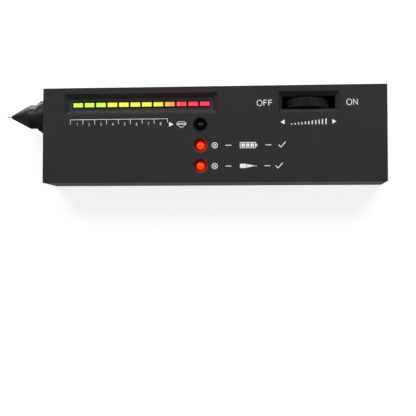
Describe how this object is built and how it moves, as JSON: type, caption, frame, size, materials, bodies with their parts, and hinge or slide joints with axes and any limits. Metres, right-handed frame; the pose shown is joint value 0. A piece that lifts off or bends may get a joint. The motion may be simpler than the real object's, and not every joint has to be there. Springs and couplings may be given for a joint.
{
  "type": "diamond tester",
  "caption": "Hand-held thermal diamond tester: slim two-shell box with a bar display, indicator lamps, a volume wheel, a battery door and a sprung probe needle in a stepped nose.",
  "frame": {"origin": "middle of the case's flat back, which lies on the table when the tester lies face up", "axes": "+X along the case from the probe to the tail, +Y across it towards the display's long edge, +Z out of the face"},
  "size_m": [0.1746, 0.043, 0.023],
  "materials": {
    "case_plastic": "fine matte texture, charcoal",
    "door_plastic": "fine matte texture, charcoal",
    "wheel_plastic": "satin black, moulded ridges",
    "probe_plastic": "satin black",
    "copper": "bare copper",
    "steel": "zinc plated",
    "spring_steel": "bright drawn wire",
    "led_green": "diffusing, lit lime green",
    "led_yellow": "diffusing, lit yellow",
    "led_orange": "diffusing, lit orange",
    "led_red": "diffusing, lit pink red",
    "lamp_red": "clear dome, lit orange red",
    "lamp_dark": "smoked dome, unlit",
    "holder_plastic": "black",
    "insulator_plastic": "natural nylon",
    "board_green": "green solder resist",
    "chip_black": "moulded epoxy",
    "buzzer_black": "black",
    "pot_brown": "phenolic",
    "trimmer_blue": "blue",
    "capacitor_blue": "dark blue sleeve",
    "resistor_tan": "tan lacquer",
    "battery_jacket": "plain dark jacket",
    "terminal_metal": "nickel plated",
    "snap_vinyl": "soft vinyl",
    "wire_red": "vinyl insulation",
    "wire_black": "vinyl insulation",
    "wire_grey": "vinyl insulation",
    "pad_foam": "closed-cell foam"
  },
  "bodies": {
    "case": {"upper_shell": "case_plastic", "lower_shell": "case_plastic", "case_screws": "steel", "potentiometer": "pot_brown", "volume_board": "board_green", "volume_leads": "wire_grey", "probe_collar": "probe_plastic", "nose_cone": "probe_plastic", "probe_spring": "spring_steel", "probe_plug": "insulator_plastic", "probe_leads": "wire_red", "main_board": "board_green", "board_screws": "steel", "bar_holder": "holder_plastic", "bar_leds_green": "led_green", "bar_leds_yellow": "led_yellow", "bar_leds_orange": "led_orange", "bar_leds_red": "led_red", "lamps_red": "lamp_red", "lamp_dark": "lamp_dark", "driver_chips": "chip_black", "amplifier_chip": "chip_black", "buzzer": "buzzer_black", "trimmers": "trimmer_blue", "capacitors": "capacitor_blue", "resistors": "resistor_tan", "battery": "battery_jacket", "battery_terminals": "terminal_metal", "snap_connector": "snap_vinyl", "battery_lead_red": "wire_red", "battery_lead_black": "wire_black", "battery_pad": "pad_foam"},
    "wheel": {"thumbwheel": "wheel_plastic", "wheel_screw": "steel", "pot_shaft": "steel"},
    "needle": {"probe_tip": "copper", "sensor_slug": "copper"},
    "door": {"battery_door": "door_plastic"}
  },
  "joints": [
    {"name": "wheel_turn", "type": "hinge", "parent": "case", "child": "wheel", "pos_m": [0.04225, 0.01395, 0.0126], "axis": [0, 1, 0], "range_deg": [-150, 150]},
    {"name": "needle_press", "type": "slide", "parent": "case", "child": "needle", "axis": [1, 0, 0], "range_m": [0, 0.0019], "stiffness_N_per_m": 400, "springref_m": -0.0015, "deforming": ["probe_spring"]},
    {"name": "door_slide", "type": "slide", "parent": "case", "child": "door", "axis": [1, 0, 0], "range_m": [0, 0.054]}
  ]
}
